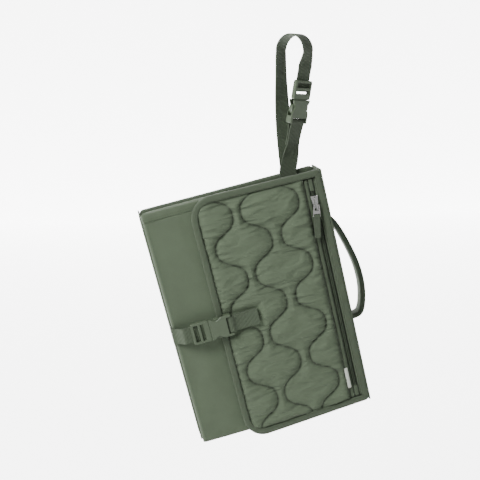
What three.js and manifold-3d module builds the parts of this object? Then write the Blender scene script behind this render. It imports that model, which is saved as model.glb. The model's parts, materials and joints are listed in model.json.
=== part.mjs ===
// Folding changing pad, closed as a clutch and hung from a bar by a webbing loop.
// Millimetres, +Z up. The bar's centre is the origin and the pad's front faces -Y.
// The pad itself leans in its own plane, so it is built in a turned group whose own
// axes are x across the pad, y through it (front is -y) and z along its height.
import * as THREE from 'three';
import { mergeVertices } from 'three/addons/utils/BufferGeometryUtils.js';
import Module from 'manifold-3d';

const wasm = await Module();
wasm.setup();

// ---- driving dimensions ----
const PAD_W = 220;          // closed pad, across
const PAD_H = 305;          // closed pad, along its height
const FLAP_W = 163;         // front flap, from the spine to its free edge
const CORNER_R = 28;        // free corners of the flap
const LEAN = 13.5;          // lean of the hung pad in its own plane, degrees
const GAP = 0.3;            // between sewn layers
const FOLD_GAP = 0.8;       // between layers that slide over each other as the pad opens
const BACK_T = 7.0;         // back panel with its board
const LINING_T = 2.0;       // wipeable lining
const MESH_T = 0.8;         // mesh pocket
const LEAF_T = 6.0;         // padded mat leaf, first fold
const LEAF2_T = 5.0;        // padded mat leaf, second fold
const FLAP_LINING_T = 1.2;
const QUILT_T = 4.5;        // flap's quilt at its seams
const QUILT_PUFF = 2.6;     // extra rise between the seams
const POCKET_ROOM = 2.6;    // slack between the mesh pocket and the folded mat
const BIND_W = 8;           // edge binding, on the face
const BIND_T = 1.1;         // edge binding, thickness
const WEB_W = 20;           // webbing
const WEB_T = 1.6;
const BAR_R = 18;           // radius of the bar the strap hangs on
const BAR_FIT = 0.6;        // strap's clearance round the bar
const STRAP_DROP = 144;     // bar centre to the pad's top edge
const STRAP_LEAN = 2.5;     // strap's own lean, degrees
const ANCHOR_X = 78;        // strap's place on the top edge
const ANCHOR_IN = 12;       // how far the strap is sewn into the pad
const BAR_TURN = 45;         // bar's turn in plan, degrees
const BUCKLE_TURN = 32;      // hanging buckle's turn in plan
const FOOT_UP = 6;          // strap's foot stops this far above the pad's edge
const BACK_SLACK = 3;       // back leg bows out this much
const HANG_FREE = 61;       // pad's top edge to the lower half of the strap's buckle
const BUCKLE_W = 27;
const BUCKLE_T = 9.2;
const FEMALE_L = 28;
const MALE_L = 23;          // part of the male half that stays outside
const PRONG_L = 17;
const RUN = 0.3;            // running clearance inside a buckle
const RELEASE = 18;         // travel that frees the prongs
const STRAP_Z = -3;         // side strap's place on the height
const STUB_IN = 16;         // buckle's end inside the flap's free edge
const FLARE_DOWN = 9;       // flap's free edge runs this much further down than its spine
const FLARE_UP = 3;         // and this much further up
const ZIP_IN = 13;          // zip's line in from the spine
const ZIP_MARGIN = 23.5;    // zip's coil stops this far inside the pad's edges
const COIL_W = 5;
const SLIDER_L = 15;
const HANDLE_L = 150;
const HANDLE_OUT = 36;
const HANDLE_W = 20;
const HANDLE_T = 7;
const HANDLE_Z = 15;        // handle's middle, above the pad's middle
const TAG_L = 28;
const TAG_W = 3.6;          // stays clear of the passing slider
const PILLOW_T = 17;        // head pillow inside the flap
const PILLOW_H = 230;
const QUILT_PERIOD = 78;
const QUILT_LINES = [129, 89, 47];  // seam centres, in from the spine
const QUILT_SWING = 15;

// ---- stack of layers, from the back face forward ----
const HX = PAD_W / 2, HZ = PAD_H / 2;
const ZIP_L = 2 * (HZ - ZIP_MARGIN);
const Y = {};
let front = 22.5;
const layer = (name, t, gap) => { Y[name] = [front - t, front]; front -= t + gap; };
layer('back', BACK_T, GAP);
layer('lining', LINING_T, GAP);
layer('mesh', MESH_T, POCKET_ROOM);
layer('leaf1b', LEAF_T, GAP);
layer('leaf1f', LEAF_T, 2 * WEB_T + 2 * GAP);
layer('leaf2b', LEAF2_T, GAP);
layer('leaf2f', LEAF2_T, FOLD_GAP);
layer('flaplining', FLAP_LINING_T, GAP);
layer('quilt', QUILT_T, 0);
const mid = (a, b) => (a + b) / 2;
const backMid = mid(Y.back[0], Y.back[1]);
const FOLD1_X = -HX - 2, FOLD1_Y = mid(mid(Y.leaf1f[0], Y.leaf1b[1]), backMid);
const FOLD2_X = 2, FOLD2_Y = mid(Y.leaf1f[0], Y.leaf2b[1]);
const SPINE_X = HX + 2.5, SPINE_Y = mid(mid(Y.quilt[0], Y.flaplining[1]), backMid);
const FLAP_X = HX - FLAP_W;                    // flap's free edge
const FACE_Y = Y.quilt[0];                     // flap's face at a seam

// ---- scene and materials ----
const root = new THREE.Group();
root.name = 'changing_pad';
const lean = THREE.MathUtils.degToRad(LEAN);
const strapLean = THREE.MathUtils.degToRad(STRAP_LEAN);
const pad = new THREE.Group();
pad.name = 'pad';
pad.rotation.y = -lean;
// the strap's foot is at the bar centre plus the drop along the strap's own line
const foot = new THREE.Vector3(-Math.sin(strapLean) * STRAP_DROP, 0, -Math.cos(strapLean) * STRAP_DROP);
const anchorInPad = new THREE.Vector3(ANCHOR_X, 0, HZ).applyEuler(pad.rotation);
pad.position.copy(foot).sub(anchorInPad);
root.add(pad);
const strap = new THREE.Group();
strap.name = 'strap';
strap.rotation.y = strapLean;
root.add(strap);

const MATERIALS = {
  shell: [0x67785f, 0.85], quilt: [0x6d7f65, 0.85], lining: [0xc9cfc2, 0.55], mesh: [0x4d5c49, 0.9],
  binding: [0x61725a, 0.85], webbing: [0x5b6b53, 0.9], plastic: [0x5f6f57, 0.5], metal: [0xb9bbb8, 0.3],
  coil: [0x46523f, 0.6], label: [0xc6ccc0, 0.7],
};
function add(group, name, geometry, look) {
  const [color, roughness] = MATERIALS[look];
  const mesh = new THREE.Mesh(geometry, new THREE.MeshStandardMaterial({
    color, roughness, metalness: look === 'metal' ? 0.9 : 0, name: look }));
  mesh.name = name;
  group.add(mesh);
  return mesh;
}

// ---- shapes ----
// a rounded rectangle in the x-z plane; radii run lower left, lower right, upper right, upper left
function panelShape(x0, z0, x1, z1, radii = [3, 3, 3, 3]) {
  const [a, b, c, d] = radii, s = new THREE.Shape();
  s.moveTo(x0 + a, z0);
  s.lineTo(x1 - b, z0); s.absarc(x1 - b, z0 + b, b, -Math.PI / 2, 0, false);
  s.lineTo(x1, z1 - c); s.absarc(x1 - c, z1 - c, c, 0, Math.PI / 2, false);
  s.lineTo(x0 + d, z1); s.absarc(x0 + d, z1 - d, d, Math.PI / 2, Math.PI, false);
  s.lineTo(x0, z0 + a); s.absarc(x0 + a, z0 + a, a, Math.PI, 1.5 * Math.PI, false);
  return s;
}
// a flat piece through the pad from y0 to y1, its edges softened by the bevel
function plate(shape, [y0, y1], bevel = 0.4, curveSegments = 6) {
  const g = new THREE.ExtrudeGeometry(shape, {
    depth: y1 - y0 - 2 * bevel, bevelEnabled: bevel > 0, bevelThickness: bevel, bevelSize: bevel,
    bevelOffset: -bevel, bevelSegments: 1, curveSegments });
  g.rotateX(Math.PI / 2);
  g.translate(0, y1 - bevel, 0);
  return g;
}
const box = (x0, x1, y0, y1, z0, z1) =>
  new THREE.BoxGeometry(x1 - x0, y1 - y0, z1 - z0).translate(mid(x0, x1), mid(y0, y1), mid(z0, z1));
function slab(x0, x1, y, z0, z1, bevel = 0.4) {
  const soft = Math.min(bevel, 0.3 * (x1 - x0)), r = Math.min(2, 0.45 * (x1 - x0));
  return plate(panelShape(x0, z0, x1, z1, [r, r, r, r]), y, Math.min(soft, 0.4 * (y[1] - y[0])), 2);
}
// a strap of constant thickness whose centre line is given in a plane, as wide as asked across it
function ribbon(points, thickness, width, curve = true, steps = 40) {
  const flat = points.map(p => new THREE.Vector3(p[0], p[1], 0));
  const line = curve ? new THREE.CatmullRomCurve3(flat, false, 'centripetal').getPoints(steps) : flat;
  const left = [], right = [];
  line.forEach((p, i) => {
    const a = line[Math.max(i - 1, 0)], b = line[Math.min(i + 1, line.length - 1)];
    const n = new THREE.Vector2(-(b.y - a.y), b.x - a.x).normalize().multiplyScalar(thickness / 2);
    left.push(new THREE.Vector2(p.x + n.x, p.y + n.y));
    right.push(new THREE.Vector2(p.x - n.x, p.y - n.y));
  });
  return new THREE.ExtrudeGeometry(new THREE.Shape([...left, ...right.reverse()]), {
    depth: width, bevelEnabled: false }).translate(0, 0, -width / 2);
}
const basis = (x, y, z) => new THREE.Matrix4().makeBasis(new THREE.Vector3(...x), new THREE.Vector3(...y), new THREE.Vector3(...z));
const IN_YZ = basis([0, 1, 0], [0, 0, 1], [1, 0, 0]);   // ribbon plane to y-z, width along x
const IN_XZ = basis([1, 0, 0], [0, 0, 1], [0, -1, 0]);  // ribbon plane to x-z, width along y
const IN_XY = basis([1, 0, 0], [0, 1, 0], [0, 0, 1]);   // ribbon plane to x-y, width along z

// ---- booleans ----
function solid(geometry) {
  const g = geometry.clone();
  g.deleteAttribute('normal'); g.deleteAttribute('uv');
  const m = mergeVertices(g, 1e-4);
  return new wasm.Manifold(new wasm.Mesh({ numProp: 3,
    vertProperties: new Float32Array(m.attributes.position.array), triVerts: new Uint32Array(m.index.array) }));
}
function geometryOf(manifold) {
  const m = manifold.getMesh(), g = new THREE.BufferGeometry();
  g.setAttribute('position', new THREE.BufferAttribute(new Float32Array(m.vertProperties), 3));
  g.setIndex(new THREE.BufferAttribute(new Uint32Array(m.triVerts), 1));
  g.computeVertexNormals();
  return g;
}
const cut = (a, ...tools) => geometryOf(tools.reduce((s, t) => s.subtract(solid(t)), solid(a)));
const join = (a, ...more) => geometryOf(more.reduce((s, t) => s.add(solid(t)), solid(a)));
const common = (a, b) => geometryOf(solid(a).intersect(solid(b)));

// ---- side-release buckle, length along +z from the female half's end bar, front towards -y ----
const HALF = BUCKLE_W / 2, BT = BUCKLE_T / 2;
const SLOT = WEB_W / 2 + 0.6;        // half width of a webbing slot
const END_BAR = 3, SLOT_H = 3.4, PLATE = 1.7, CAVITY = BT - PLATE;
const CAVITY_Z = END_BAR + SLOT_H + 2.6;
const BAR_Y = 1.8;                   // half thickness of the bars the webbing wraps
function femaleHalf(openBack) {
  const s = new THREE.Shape(), waist = HALF - 3.4;
  s.moveTo(-HALF, 1); s.lineTo(-HALF + 1, 0); s.lineTo(HALF - 1, 0); s.lineTo(HALF, 1);
  s.lineTo(HALF, CAVITY_Z + 2);
  s.bezierCurveTo(HALF, CAVITY_Z + 6, waist, CAVITY_Z + 6, waist, CAVITY_Z + 10);
  s.bezierCurveTo(waist, CAVITY_Z + 14, HALF, FEMALE_L - 5, HALF, FEMALE_L);
  s.lineTo(-HALF, FEMALE_L);
  s.bezierCurveTo(-HALF, FEMALE_L - 5, -waist, CAVITY_Z + 14, -waist, CAVITY_Z + 10);
  s.bezierCurveTo(-waist, CAVITY_Z + 6, -HALF, CAVITY_Z + 6, -HALF, CAVITY_Z + 2);
  s.lineTo(-HALF, 1);
  const tools = [
    box(-SLOT, SLOT, -BT - 1, BT + 1, END_BAR, END_BAR + SLOT_H),
    box(-SLOT, SLOT, BAR_Y, BT + 1, -1, END_BAR + 0.1),
    box(-SLOT, SLOT, -BT - 1, -BAR_Y, -1, END_BAR + 0.1),
    box(-HALF - 1, HALF + 1, -CAVITY, openBack ? BT + 1 : CAVITY, CAVITY_Z, FEMALE_L + 1),
  ];
  return cut(plate(s, [-BT, BT], 0.7, 5), ...tools);
}
const WEB_Y = WEB_T / 2;             // webbing's centre in the male half, behind its bars
const BARS_BACK = -0.4;              // back of the bars, clear of the webbing
function maleHalf() {
  const z0 = FEMALE_L + RUN, z1 = FEMALE_L + MALE_L, inner = SLOT - 0.1;
  const frontY = -CAVITY + RUN - 0.6;
  const frame = cut(plate(panelShape(-HALF + 0.2, z0, HALF - 0.2, z1, [2.5, 2.5, 2.5, 2.5]), [frontY, 2.4], 0.5, 3),
    box(-inner, inner, BARS_BACK, 4, z0 - 1, z1 + 1),
    box(-inner, inner, -8, 4, z0 + 7, z0 + 11),
    box(-inner, inner, -8, 4, z0 + 14, z1 - 3));
  const y0 = -CAVITY + RUN;
  const arm = side => {
    const s = new THREE.Shape(), x = v => side * v;
    s.moveTo(x(6), z0 + 1); s.lineTo(x(6), z0 - PRONG_L + 5); s.lineTo(x(8), z0 - PRONG_L);
    s.lineTo(x(10.6), z0 - PRONG_L);
    s.bezierCurveTo(x(12.6), z0 - PRONG_L + 3, x(HALF - 0.6), z0 - 11, x(HALF - 0.6), z0 - 8.5);
    s.bezierCurveTo(x(HALF - 0.6), z0 - 6.5, x(11.2), z0 - 6.8, x(10.2), z0 - 5.6);
    s.lineTo(x(9.2), z0 + 1); s.lineTo(x(6), z0 + 1);
    return s;
  };
  const arms = [-1, 1].map(side => plate(arm(side), [y0, CAVITY - RUN], 0, 4));
  const clearOfWebbing = box(-WEB_W / 2 - 0.3, WEB_W / 2 + 0.3, BARS_BACK, 4, z0 - PRONG_L - 1, z0 + 2);
  const tongue = plate(panelShape(-2, z0 - PRONG_L + 3, 2, z0 + 1, [1, 1, 0.5, 0.5]), [y0, BARS_BACK], 0, 2);
  return join(frame, ...arms.map(a => cut(a, clearOfWebbing)), tongue);
}

// ---- back panel: shell, edge binding, lining, mesh pocket, fixed halves of the folds ----
const back = [-HX, HX, -HZ, HZ];
const ring = (x0, x1, z0, z1, inset, insetRight, y, radii) => {
  const s = panelShape(x0, z0, x1, z1, radii);
  s.holes.push(panelShape(x0 + inset, z0 + inset, x1 - insetRight, z1 - inset, radii.map(r => Math.max(r - inset, 1))));
  return plate(s, y, 0.5, 8);
};
const SHELL = [-HX + BIND_W + GAP, HX - BIND_W - GAP];
const SHELL_Z = HZ - BIND_W - GAP;
add(pad, 'back_binding', ring(...back, BIND_W, BIND_W, [Y.lining[0], Y.back[1]], [4, 4, 4, 4]), 'binding');
add(pad, 'back_shell', plate(panelShape(SHELL[0], -SHELL_Z, SHELL[1], SHELL_Z), Y.back, 1.2), 'shell');
add(pad, 'back_lining', plate(panelShape(SHELL[0], -SHELL_Z, SHELL[1], SHELL_Z), Y.lining, 0.3), 'lining');
add(pad, 'mesh_pocket', slab(-HX + 6, HX - 6, Y.mesh, -HZ + 6, 40, 0.1), 'mesh');
add(pad, 'pocket_elastic', box(-HX + 6, HX - 6, Y.mesh[0] - 0.6, Y.mesh[1], 40 + GAP, 50), 'binding');
add(pad, 'spine_fixed', slab(HX + GAP, SPINE_X - 0.2, [SPINE_Y + 0.2, Y.back[1]], -HZ, HZ, 0.5), 'binding');
add(pad, 'left_fold_fixed', slab(FOLD1_X + 0.2, -HX - GAP, [FOLD1_Y + 0.2, Y.back[1]], -HZ, HZ, 0.5), 'binding');
const anchorY = mid(Y.mesh[0], Y.leaf1b[1]);
const ANCHOR_T = POCKET_ROOM - 2 * GAP;
add(pad, 'strap_anchor', slab(ANCHOR_X - WEB_W / 2 - 1, ANCHOR_X + WEB_W / 2 + 1,
  [anchorY - ANCHOR_T / 2, anchorY + ANCHOR_T / 2], HZ - ANCHOR_IN, HZ + 1.5, 0.3), 'webbing');

// ---- first fold of the mat: opens to the left ----
const leafZ = HZ - 1.5;
add(pad, 'mat_leaf_1_inner', slab(-HX + 1, 0, Y.leaf1b, -leafZ, leafZ, 1.4), 'lining');
add(pad, 'mat_leaf_1_outer', slab(-HX + 1, 0, Y.leaf1f, -leafZ, leafZ, 1.4), 'shell');
add(pad, 'left_fold', slab(FOLD1_X + 0.2, -HX + 0.7, [Y.leaf1f[0] + 0.4, FOLD1_Y - 0.2], -HZ + 1, HZ - 1, 0.5), 'shell');
add(pad, 'middle_fold_inner', slab(GAP, FOLD2_X - 0.2, [FOLD2_Y + 0.2, Y.leaf1b[1]], -leafZ, leafZ, 0.4), 'binding');

// ---- second fold: the plain panel seen beside the flap ----
add(pad, 'mat_leaf_2_inner', slab(-HX + 0.5, 0, Y.leaf2b, -leafZ, leafZ, 1.4), 'lining');
add(pad, 'mat_leaf_2_outer', slab(-HX + 0.5, 0, Y.leaf2f, -HZ + 1, HZ - 9, 1.6), 'shell');
add(pad, 'top_hem', slab(-HX + 0.5, 0, Y.leaf2f, HZ - 9 + GAP, HZ, 0.8), 'binding');
add(pad, 'middle_fold_outer', slab(GAP, FOLD2_X - 0.2, [Y.leaf2f[0], FOLD2_Y - 0.2], -leafZ, leafZ, 0.4), 'binding');

// ---- front flap ----
// the flap is cut flared: its free edge is longer than its spine, above and below
function flared(geometry) {
  const p = geometry.attributes.position;
  for (let i = 0; i < p.count; i++) {
    const t = (HX - p.getX(i)) / FLAP_W, z = p.getZ(i);
    p.setZ(i, z + t * z / HZ * (z < 0 ? FLARE_DOWN : FLARE_UP));
  }
  geometry.computeVertexNormals();
  return geometry;
}
const FLAP_Y = [Y.quilt[0] - BIND_T, Y.flaplining[1]];
const SEAM_SIDE = 2.5;
add(pad, 'flap_binding', flared(ring(FLAP_X, HX, -HZ, HZ, BIND_W, SEAM_SIDE, [Y.quilt[0] - BIND_T, Y.flaplining[0]],
  [CORNER_R, 2, 2, CORNER_R])), 'binding');
const inX = [FLAP_X + BIND_W + GAP, HX - SEAM_SIDE - GAP], inZ = HZ - BIND_W - GAP, inR = CORNER_R - BIND_W - GAP;
const inner = (x0, x1, r) => panelShape(x0, -inZ, x1, inZ, [r, 1, 1, r]);
add(pad, 'flap_lining', flared(plate(panelShape(FLAP_X + 4, -HZ + 4, HX - 1, HZ - 4, [CORNER_R - 4, 2, 2, CORNER_R - 4]),
  [Y.flaplining[0] + GAP, Y.flaplining[1]], 0.2, 8)), 'lining');
add(pad, 'head_pillow', plate(panelShape(FOLD2_X + 8, -PILLOW_H / 2, HX - 6, PILLOW_H / 2, [16, 16, 16, 16]),
  [Y.flaplining[1] + GAP, Y.flaplining[1] + GAP + PILLOW_T], 4), 'lining');
const ZIP_X = HX - ZIP_IN;
const coilX = [ZIP_X - COIL_W / 2, ZIP_X + COIL_W / 2];
const TAPE_W = 6;
const quiltX = [inX[0], coilX[0] - GAP - TAPE_W - GAP];
// across-the-flap place of a seam at a height; the outer seams swing together, the middle one against them
function seamX(k, z) {
  const c = Math.cos(2 * Math.PI * (z - 124) / QUILT_PERIOD);
  return HX - QUILT_LINES[k] + (k % 2 ? -1 : 1) * QUILT_SWING * Math.tanh(1.5 * c) / Math.tanh(1.5);
}
const strapRoom = WEB_W / 2 + 4;
function quiltFront(x, z) {
  let d = Math.min(x - quiltX[0], quiltX[1] - x, inZ - Math.abs(z));
  for (let k = 0; k < QUILT_LINES.length; k++) {
    for (let dz = -8; dz <= 8; dz += 4) d = Math.min(d, Math.hypot(x - seamX(k, z + dz), dz));
  }
  let puff = QUILT_PUFF * (1 - Math.exp(-Math.max(d, 0) / 5));
  const under = x < FLAP_X + STUB_IN + 38 && Math.abs(z - STRAP_Z) < strapRoom;   // pressed flat by the strap's stub
  return Y.quilt[0] - (under ? Math.min(puff, 0.2) : puff);
}
function relief(x0, x1, z0, z1, nx, nz, yBack, yFront) {
  const p = [], idx = [], at = (i, j, f) => f * (nx + 1) * (nz + 1) + j * (nx + 1) + i;
  for (const f of [0, 1]) for (let j = 0; j <= nz; j++) for (let i = 0; i <= nx; i++) {
    const x = x0 + (x1 - x0) * i / nx, z = z0 + (z1 - z0) * j / nz;
    p.push(x, f ? yBack : yFront(x, z), z);
  }
  const quad = (a, b, c, d) => idx.push(a, b, c, a, c, d);
  for (let j = 0; j < nz; j++) for (let i = 0; i < nx; i++) {
    quad(at(i, j, 0), at(i + 1, j, 0), at(i + 1, j + 1, 0), at(i, j + 1, 0));
    quad(at(i, j, 1), at(i, j + 1, 1), at(i + 1, j + 1, 1), at(i + 1, j, 1));
  }
  for (let i = 0; i < nx; i++) {
    quad(at(i, 0, 0), at(i, 0, 1), at(i + 1, 0, 1), at(i + 1, 0, 0));
    quad(at(i, nz, 0), at(i + 1, nz, 0), at(i + 1, nz, 1), at(i, nz, 1));
  }
  for (let j = 0; j < nz; j++) {
    quad(at(0, j, 0), at(0, j + 1, 0), at(0, j + 1, 1), at(0, j, 1));
    quad(at(nx, j, 0), at(nx, j, 1), at(nx, j + 1, 1), at(nx, j + 1, 0));
  }
  const g = new THREE.BufferGeometry();
  g.setAttribute('position', new THREE.BufferAttribute(new Float32Array(p), 3));
  g.setIndex(idx);
  return g;
}
const quiltBlank = plate(inner(quiltX[0], quiltX[1], inR), [Y.quilt[0] - 8, Y.quilt[1]], 0, 8);
add(pad, 'flap_quilt', flared(common(quiltBlank,
  relief(quiltX[0] - 1, quiltX[1] + 1, -inZ - 1, inZ + 1, 28, 62, Y.quilt[1] + 1, quiltFront))), 'quilt');
const TAPE_Y = [Y.quilt[0] + 1.2, Y.quilt[1]], COIL_Y = [Y.quilt[0] + 1, Y.quilt[1]];
const bar = (x0, x1, y, z0, z1) => box(x0, x1, y[0], y[1], z0, z1);
add(pad, 'zip_tape_left', flared(bar(quiltX[1] + GAP, coilX[0] - GAP, TAPE_Y, -inZ, inZ)), 'shell');
add(pad, 'zip_tape_right', flared(bar(coilX[1] + GAP, inX[1], TAPE_Y, -inZ, inZ)), 'shell');
add(pad, 'zip_coil', bar(...coilX, COIL_Y, -ZIP_L / 2, ZIP_L / 2), 'coil');
add(pad, 'zip_end_top', bar(...coilX, TAPE_Y, ZIP_L / 2 + GAP, inZ), 'binding');
add(pad, 'zip_end_bottom', bar(...coilX, TAPE_Y, -inZ, -ZIP_L / 2 - GAP), 'binding');
add(pad, 'flap_spine', slab(HX + GAP, SPINE_X - 0.2, [Y.quilt[0] - 0.6, SPINE_Y - 0.2], -HZ, HZ, 0.5), 'binding');
add(pad, 'side_tag', box(quiltX[1] + 0.4, quiltX[1] + 0.4 + TAG_W, TAPE_Y[0] - 0.9, TAPE_Y[0] - GAP,
  -HZ + 22, -HZ + 22 + TAG_L), 'label');

// ---- zip slider and pull ----
const sliderTop = ZIP_L / 2 - 6, sliderZ = sliderTop - SLIDER_L / 2;
const sliderY = [COIL_Y[0] - GAP - 2.2, COIL_Y[0] - GAP];
const wedge = new THREE.Shape([[-4.6, 1], [-2.6, -SLIDER_L], [2.6, -SLIDER_L], [4.6, 1], [2.4, 0]].map(p => new THREE.Vector2(...p)));
const bridge = [ZIP_X - 0.9, ZIP_X + 0.9];
const eyeZ = sliderTop - SLIDER_L + 3, PIN_R = 0.9, EYE_Y = sliderY[0] - 2.2;
const sliderBody = plate(wedge, sliderY, 0.4, 2); sliderBody.translate(ZIP_X, 0, sliderTop);
add(pad, 'zip_slider', join(sliderBody,
  box(...bridge, EYE_Y - 1.6, sliderY[0] + 0.5, sliderTop - 4, sliderTop - 1.5),
  box(...bridge, EYE_Y - 1.6, EYE_Y + PIN_R * -1 - 0.1, eyeZ - 3, sliderTop - 4 + 0.2),
  box(...bridge, EYE_Y - 1.6, sliderY[0] + 0.5, eyeZ - 4.6, eyeZ - 2.6)), 'metal');
const PULL_L = 13, pullY = [EYE_Y - 0.7, EYE_Y + 0.7];
const pullShape = new THREE.Shape([[-3.6, 2], [3.6, 2], [4.8, -PULL_L], [-4.8, -PULL_L]].map(p => new THREE.Vector2(...p)));
const eye = new THREE.Path([[-2.6, -5.6], [2.6, -5.6], [2.0, 0.9], [-2.0, 0.9]].map(p => new THREE.Vector2(...p)));
const cordSlot = new THREE.Path([[-3.9, -PULL_L + 1.4], [3.9, -PULL_L + 1.4], [3.7, -PULL_L + 3.4], [-3.7, -PULL_L + 3.4]].map(p => new THREE.Vector2(...p)));
pullShape.holes.push(eye, cordSlot);
const PULL_HANG = THREE.MathUtils.degToRad(10);    // pull hangs nearer to plumb than the zip
const hung = g => g.translate(-ZIP_X, 0, -eyeZ - 1.45).rotateY(PULL_HANG).translate(ZIP_X, 0, eyeZ + 1.45);
const pull = plate(pullShape, pullY, 0.25, 2); pull.translate(ZIP_X, 0, eyeZ);
add(pad, 'zip_pull', hung(pull), 'metal');
// a short webbing tab folded through the pull
const tabEnd = eyeZ - PULL_L - 26, barZ = eyeZ - PULL_L + 0.7;
add(pad, 'pull_tab', hung(ribbon([[EYE_Y - 0.75, tabEnd], [EYE_Y - 0.8, barZ - 6], [EYE_Y - 1.45, barZ - 0.6], [EYE_Y - 0.9, barZ + 1.25],
  [EYE_Y, barZ + 1.5], [EYE_Y + 0.9, barZ + 1.25], [EYE_Y + 1.45, barZ - 0.6], [EYE_Y + 0.8, barZ - 6], [EYE_Y + 0.75, tabEnd]],
  0.9, 7.2, true, 30).applyMatrix4(IN_YZ).translate(ZIP_X, 0, 0)), 'webbing');

// ---- side strap and its buckle ----
const side = new THREE.Group();
side.name = 'side_buckle';
const BUCKLE_Y = FACE_Y - BIND_T - RUN - BT;
side.position.set(FLAP_X + STUB_IN, BUCKLE_Y, STRAP_Z);
side.rotation.y = -Math.PI / 2;
pad.add(side);
add(side, 'side_buckle_female', femaleHalf(true), 'plastic');
add(side, 'side_buckle_male', maleHalf(), 'plastic');
const stubRest = FACE_Y - BIND_T - 0.3 - WEB_T / 2 - BUCKLE_Y;     // leg that lies on the flap
add(side, 'side_stub', ribbon([[stubRest - WEB_T - 0.3, -34], [stubRest - WEB_T - 0.3, -12], [0.2, -4], [-2.6, -0.5], [-2.95, 2],
  [-2.0, 4.1], [0, 4.75], [2.0, 4.1], [2.95, 2], [stubRest - 0.3, -2.5], [stubRest, -8], [stubRest, -34]],
  WEB_T - 0.2, WEB_W).applyMatrix4(IN_YZ), 'webbing');
const WEB_END = FEMALE_L + 9.5;
const left = FLAP_X + STUB_IN - WEB_END;         // strap's end inside the male half, across the pad
const leafFace = Y.leaf2f[0] - GAP - WEB_T / 2, edgeX = -HX + 0.5 - GAP - WEB_T / 2 - 0.6;
const leafBack = Y.leaf2b[1] + GAP + WEB_T / 2;
add(pad, 'side_webbing', ribbon([...[0, 6, 12, 18, 23].map(s => [left - s, BUCKLE_Y + WEB_Y]), [-HX + 8, leafFace - 6], [-HX + 3, leafFace - 1.2],
  [edgeX, leafFace + 1.2], [edgeX, mid(leafFace, leafBack)], [edgeX, leafBack - 1.6], [-HX + 1.6, leafBack], [-HX + 4, leafBack], [-HX + 14, leafBack]],
  WEB_T, WEB_W, true, 60).applyMatrix4(IN_XY).translate(0, 0, STRAP_Z), 'webbing');

// ---- carry handle on the back, by the spine ----
const handleY = Y.back[1] + 5.6;                   // band's near edge, behind the opened flap
const handleX = HX - 2, hz = HANDLE_L / 2;
const tab = z => slab(HX - 16, HX - 3, [Y.back[1] + GAP, Y.back[1] + 2.2], z - 12, z + 12, 0.3);
add(pad, 'handle_tab_top', tab(HANDLE_Z + hz), 'binding');
add(pad, 'handle_tab_bottom', tab(HANDLE_Z - hz), 'binding');
const bow = [[-9, -8], [2, -5], [12, -11], [0.62 * HANDLE_OUT, -0.42 * hz], [0.92 * HANDLE_OUT, -0.95 * hz], [HANDLE_OUT, -1.35 * hz],
  [0.92 * HANDLE_OUT, -1.68 * hz], [0.72 * HANDLE_OUT, -1.92 * hz], [12, -1.96 * hz], [2, -1.93 * hz], [-9, -1.9 * hz]];   // out and down from the top tab
add(pad, 'carry_handle', ribbon(bow.map(([x, z]) => [handleX + x, hz + z]),
  HANDLE_T, HANDLE_W).applyMatrix4(IN_XZ).translate(0, handleY + HANDLE_W / 2, HANDLE_Z), 'webbing');

// ---- hanging strap: loop over the bar, buckle in its front leg ----
// The bar crosses the pad at an angle in plan, so the strap twists between its sewn foot and the
// bar. A band is a flat strip whose width can turn as it goes.
function band(stations, thickness, width) {
  const corners = [], idx = [];
  stations.forEach(({ p, w }, i) => {
    const a = stations[Math.max(i - 1, 0)].p, b = stations[Math.min(i + 1, stations.length - 1)].p;
    const t = b.clone().sub(a).normalize();
    const across = w.clone().addScaledVector(t, -w.dot(t)).normalize();
    const n = t.clone().cross(across);
    for (const [u, v] of [[1, 1], [-1, 1], [-1, -1], [1, -1]]) {
      corners.push(...p.clone().addScaledVector(across, u * width / 2).addScaledVector(n, v * thickness / 2).toArray());
    }
  });
  const last = stations.length - 1;
  for (let i = 0; i < last; i++) for (let k = 0; k < 4; k++) {
    const a = 4 * i + k, b = 4 * i + (k + 1) % 4;
    idx.push(a, b, b + 4, a, b + 4, a + 4);
  }
  idx.push(0, 3, 2, 0, 2, 1, 4 * last, 4 * last + 1, 4 * last + 2, 4 * last, 4 * last + 2, 4 * last + 3);
  const g = new THREE.BufferGeometry();
  g.setAttribute('position', new THREE.BufferAttribute(new Float32Array(corners), 3));
  g.setIndex(idx);
  if (solid(g).volume() < 0) g.setIndex(idx.reverse());
  g.computeVertexNormals();
  return g;
}
const inPlan = a => new THREE.Vector3(Math.sin(a), -Math.cos(a), 0);     // front of the strap, turned by a
const acrossPlan = a => new THREE.Vector3(Math.cos(a), Math.sin(a), 0);
const beta = THREE.MathUtils.degToRad(BAR_TURN), buckleTurn = THREE.MathUtils.degToRad(BUCKLE_TURN);
const loopR = BAR_R + BAR_FIT + WEB_T / 2;
const footZ = -STRAP_DROP + FOOT_UP;               // strap's sewn foot, just above the pad's edge
const LEG = WEB_T / 2 + 0.15;                      // a leg's centre beside the foot's middle
pad.position.y = -anchorY;                         // the foot hangs straight under the bar
const e = inPlan(beta), up = new THREE.Vector3(0, 0, 1);
const tangent = Math.acos(loopR / Math.abs(footZ)) ;
const onBar = a => e.clone().multiplyScalar(loopR * Math.cos(a)).addScaledVector(up, loopR * Math.sin(a));
const legTop = onBar(-(Math.PI / 2 - tangent));    // where the front leg leaves the bar
const footFront = inPlan(0).multiplyScalar(LEG).setZ(footZ), footBack = inPlan(0).multiplyScalar(-LEG).setZ(footZ);
const legUp = legTop.clone().sub(footFront).normalize();
const hang = new THREE.Group();
hang.name = 'hang_buckle';
const wide = acrossPlan(buckleTurn); wide.addScaledVector(legUp, -wide.dot(legUp)).normalize();
hang.matrixAutoUpdate = false;
hang.matrix.makeBasis(wide, legUp.clone().cross(wide), legUp).setPosition(footFront.clone().addScaledVector(legUp, HANG_FREE - FOOT_UP));
strap.add(hang);
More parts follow.
